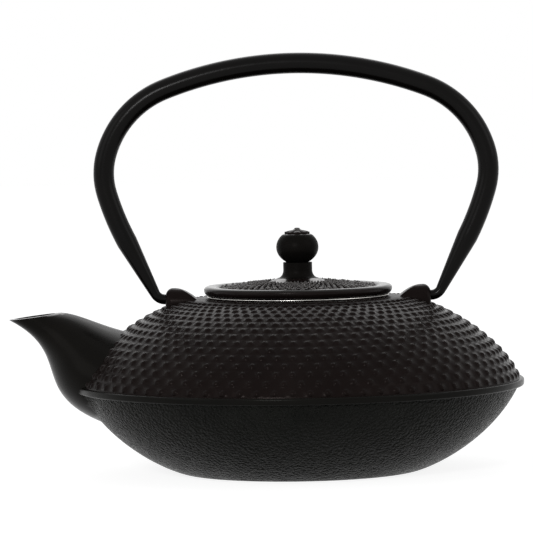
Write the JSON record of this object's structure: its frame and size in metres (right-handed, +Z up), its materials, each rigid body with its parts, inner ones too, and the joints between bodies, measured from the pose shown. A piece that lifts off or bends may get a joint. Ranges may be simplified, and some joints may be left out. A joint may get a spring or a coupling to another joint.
{
  "type": "teapot",
  "caption": "Wide cast-iron hobnail teapot with beak spout, swinging bail handle, lift-off lid with riveted knob, and steel tea infuser in the mouth.",
  "frame": {"origin": "centre of the flat base, on the surface that the pot stands on", "axes": "+Z up through the lid and knob; -X towards the spout; the bail handle swings about a line along X"},
  "size_m": [0.229, 0.2, 0.186],
  "materials": {
    "pot_iron": "black coated cast iron, satin, hobnailed above and orange-peel below",
    "bail_steel": "smooth satin black coat over rolled steel",
    "lid_iron": "black coated cast iron, satin, fine hobnails inside a smooth lip",
    "knob_iron": "black coated cast iron, smooth satin",
    "rivet_steel": "darkened steel",
    "infuser_steel": "bright stainless steel sheet",
    "infuser_mesh": "perforated stainless steel sheet"
  },
  "bodies": {
    "pot": {"pot_body": "pot_iron"},
    "bail": {"bail_handle": "bail_steel"},
    "infuser": {"infuser_rim": "infuser_steel", "infuser_wall": "infuser_mesh", "infuser_base_ring": "infuser_steel", "infuser_base": "infuser_mesh"},
    "lid": {"lid": "lid_iron", "knob": "knob_iron", "knob_rosette": "rivet_steel", "knob_rivet": "rivet_steel", "rivet_washer": "rivet_steel"}
  },
  "joints": [
    {"name": "bail_swing", "type": "hinge", "parent": "pot", "child": "bail", "pos_m": [0, 0, 0.0772], "axis": [1, 0, 0], "range_deg": [-104, 104]},
    {"name": "infuser_lift", "type": "slide", "parent": "pot", "child": "infuser", "axis": [0, 0, 1], "range_m": [0, 0.04]},
    {"name": "lid_lift", "type": "slide", "parent": "infuser", "child": "lid", "axis": [0, 0, 1], "range_m": [0, 0.025]}
  ]
}
